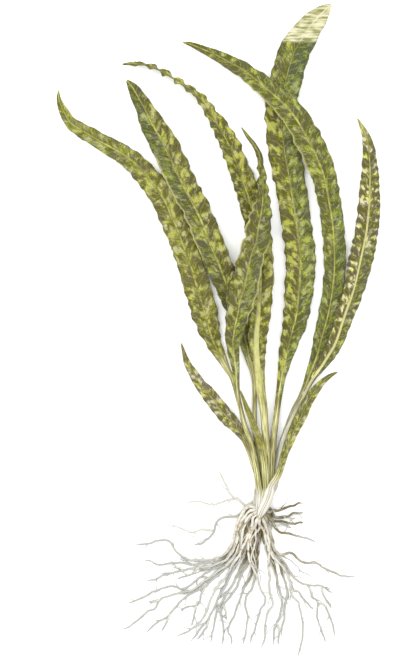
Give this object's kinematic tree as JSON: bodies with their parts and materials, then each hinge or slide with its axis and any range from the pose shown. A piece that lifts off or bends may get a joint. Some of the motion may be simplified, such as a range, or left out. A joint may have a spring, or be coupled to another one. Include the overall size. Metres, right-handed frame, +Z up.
{
  "type": "bare-rooted cryptocoryne plant",
  "caption": "Bare-rooted cryptocoryne water plant laid flat: long ribbon leaves with crisped margins on slender stalks, a short pale crown and a fan of fine spreading roots.",
  "frame": {"origin": "on the surface that the plant lies on, under the middle of its outline seen from above", "axes": "+Y along the plant towards the leaf tips, +X to the right seen from above, +Z up from the surface"},
  "size_m": [0.2204, 0.4468, 0.0189],
  "materials": {
    "leaf": "living water-plant leaf, green to olive with yellow-green and brown marbling, satin",
    "crown": "pale cream leaf bases, satin",
    "root": "brown to pale grey roots, matt"
  },
  "bodies": {
    "root": {"crown": "crown", "leaf_far_left": "leaf", "leaf_left": "leaf", "leaf_back": "leaf", "leaf_front": "leaf", "leaf_tall": "leaf", "leaf_arched": "leaf", "leaf_right": "leaf", "leaf_small_left": "leaf", "leaf_small_right": "leaf", "leaf_young": "leaf", "root_01": "root", "root_02": "root", "root_03": "root", "root_04": "root", "root_05": "root", "root_06": "root", "root_07": "root", "root_08": "root", "root_09": "root", "root_10": "root", "root_11": "root", "root_12": "root", "root_13": "root", "root_14": "root", "root_15": "root", "root_16": "root", "root_17": "root", "root_18": "root", "root_19": "root", "root_20": "root", "root_21": "root", "root_22": "root", "root_23": "root", "root_24": "root"}
  },
  "joints": []
}
